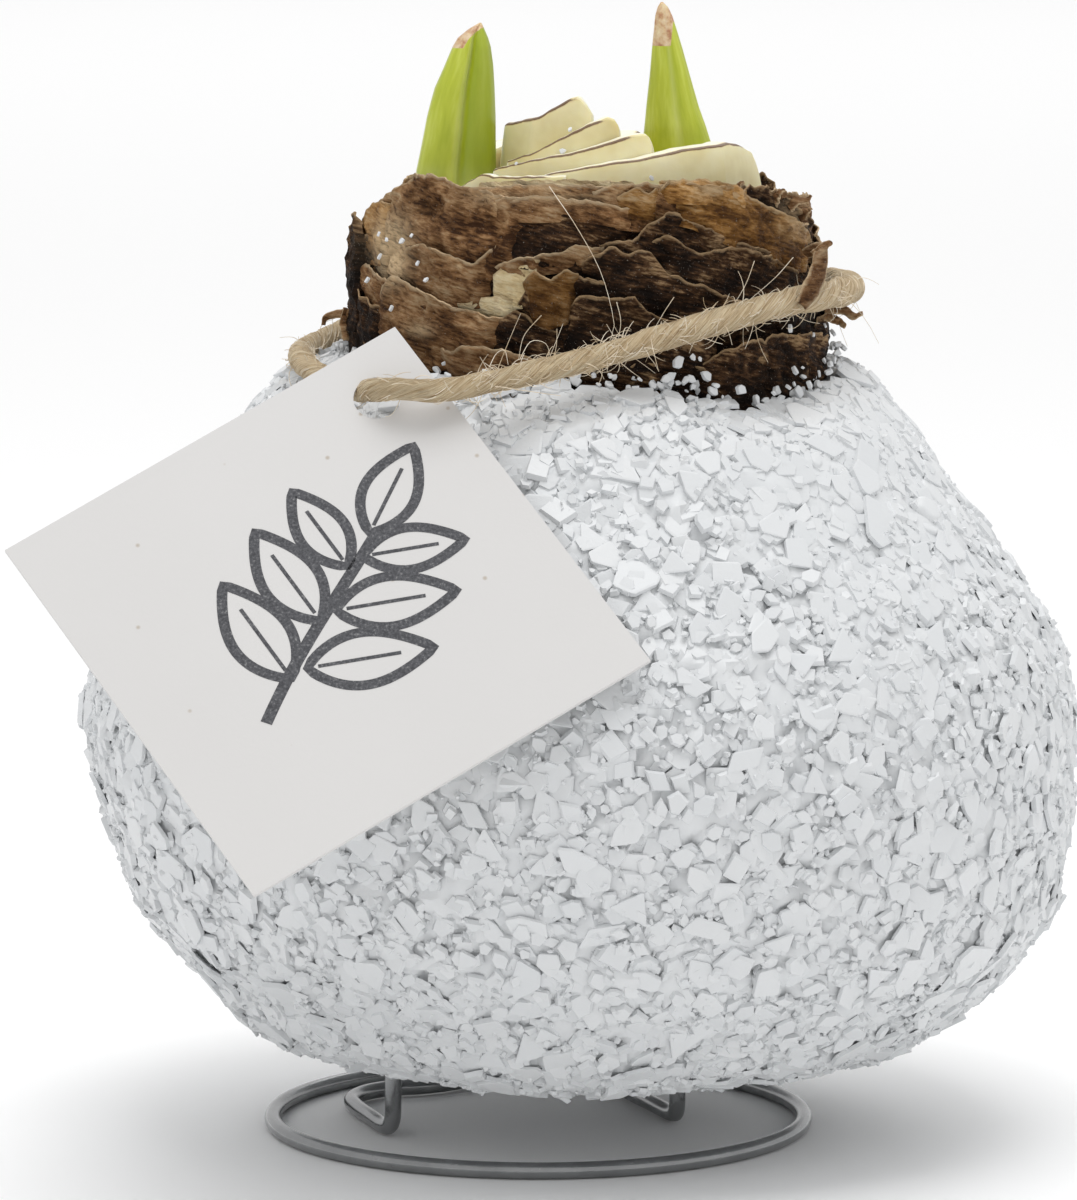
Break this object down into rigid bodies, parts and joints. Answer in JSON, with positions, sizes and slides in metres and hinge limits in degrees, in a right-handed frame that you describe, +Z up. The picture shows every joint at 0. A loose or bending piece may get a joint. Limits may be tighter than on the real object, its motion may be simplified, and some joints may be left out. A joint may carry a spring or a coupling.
{
  "type": "waxed amaryllis bulb on a wire stand",
  "caption": "Amaryllis bulb in a coat of white wax flakes, with a brown neck, cut cream scales and two green shoots, twine with a blank card tag, on a wire ring stand",
  "frame": {"origin": "on the floor, under the middle of the box round the bulb and its stand, measured without the twine, its knot and the tag", "axes": "+Z up, -Y towards the side that the tag hangs on, +X to the right as seen from there"},
  "size_m": [0.1189, 0.1273, 0.1289],
  "materials": {
    "wax": "white wax in coarse flakes, slightly see-through",
    "skin": "dry papery brown skin in ragged layers",
    "flesh": "moist cream flesh with a brown line along each cut edge",
    "leaf": "smooth lime green leaf with a dry tan tip",
    "wire": "dull zinc-coated steel wire",
    "card": "matt off-white card with fine specks",
    "jute": "twisted straw-coloured jute with loose fibres"
  },
  "bodies": {
    "root": {"wax_coat": "wax", "bulb": "skin", "scale_front": "flesh", "scale_middle": "flesh", "scale_upper_right": "flesh", "scale_upper_left": "flesh", "scale_left": "flesh", "scale_back_outer": "flesh", "scale_back_middle": "flesh", "scale_back_inner": "flesh", "scale_heart": "flesh", "shoot_left": "leaf", "shoot_right": "leaf", "stand_ring": "wire", "stand_prongs": "wire", "tag": "card", "twine": "jute", "twine_knot": "jute"}
  },
  "joints": []
}
